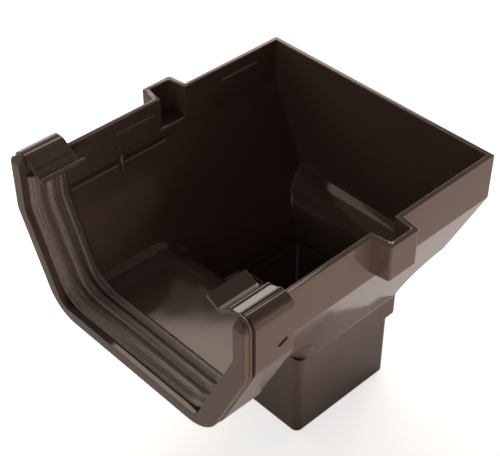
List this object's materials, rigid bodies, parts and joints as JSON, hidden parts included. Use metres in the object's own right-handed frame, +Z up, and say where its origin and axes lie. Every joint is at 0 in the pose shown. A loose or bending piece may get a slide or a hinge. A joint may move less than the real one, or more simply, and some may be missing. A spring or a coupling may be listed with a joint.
{
  "type": "gutter end outlet",
  "caption": "Open square-line trough, closed at one end, that narrows to a square downpipe spigot. Its other end is a socket with a ribbed rubber seal and a snap strap.",
  "frame": {"origin": "centre of the spigot's lower end, on the outlet's vertical axis", "axes": "+X along the gutter towards the closed end, +Y towards the wall that the gutter hangs on, +Z up"},
  "size_m": [0.138, 0.1374, 0.1366],
  "materials": {
    "body_plastic": "semi-gloss moulded, dark brown",
    "seal_rubber": "matt extruded rubber, brown grey",
    "strap_plastic": "semi-gloss moulded, dark brown"
  },
  "bodies": {
    "root": {"outlet_body": "body_plastic", "socket_seal": "seal_rubber", "retaining_strap": "strap_plastic"}
  },
  "joints": []
}
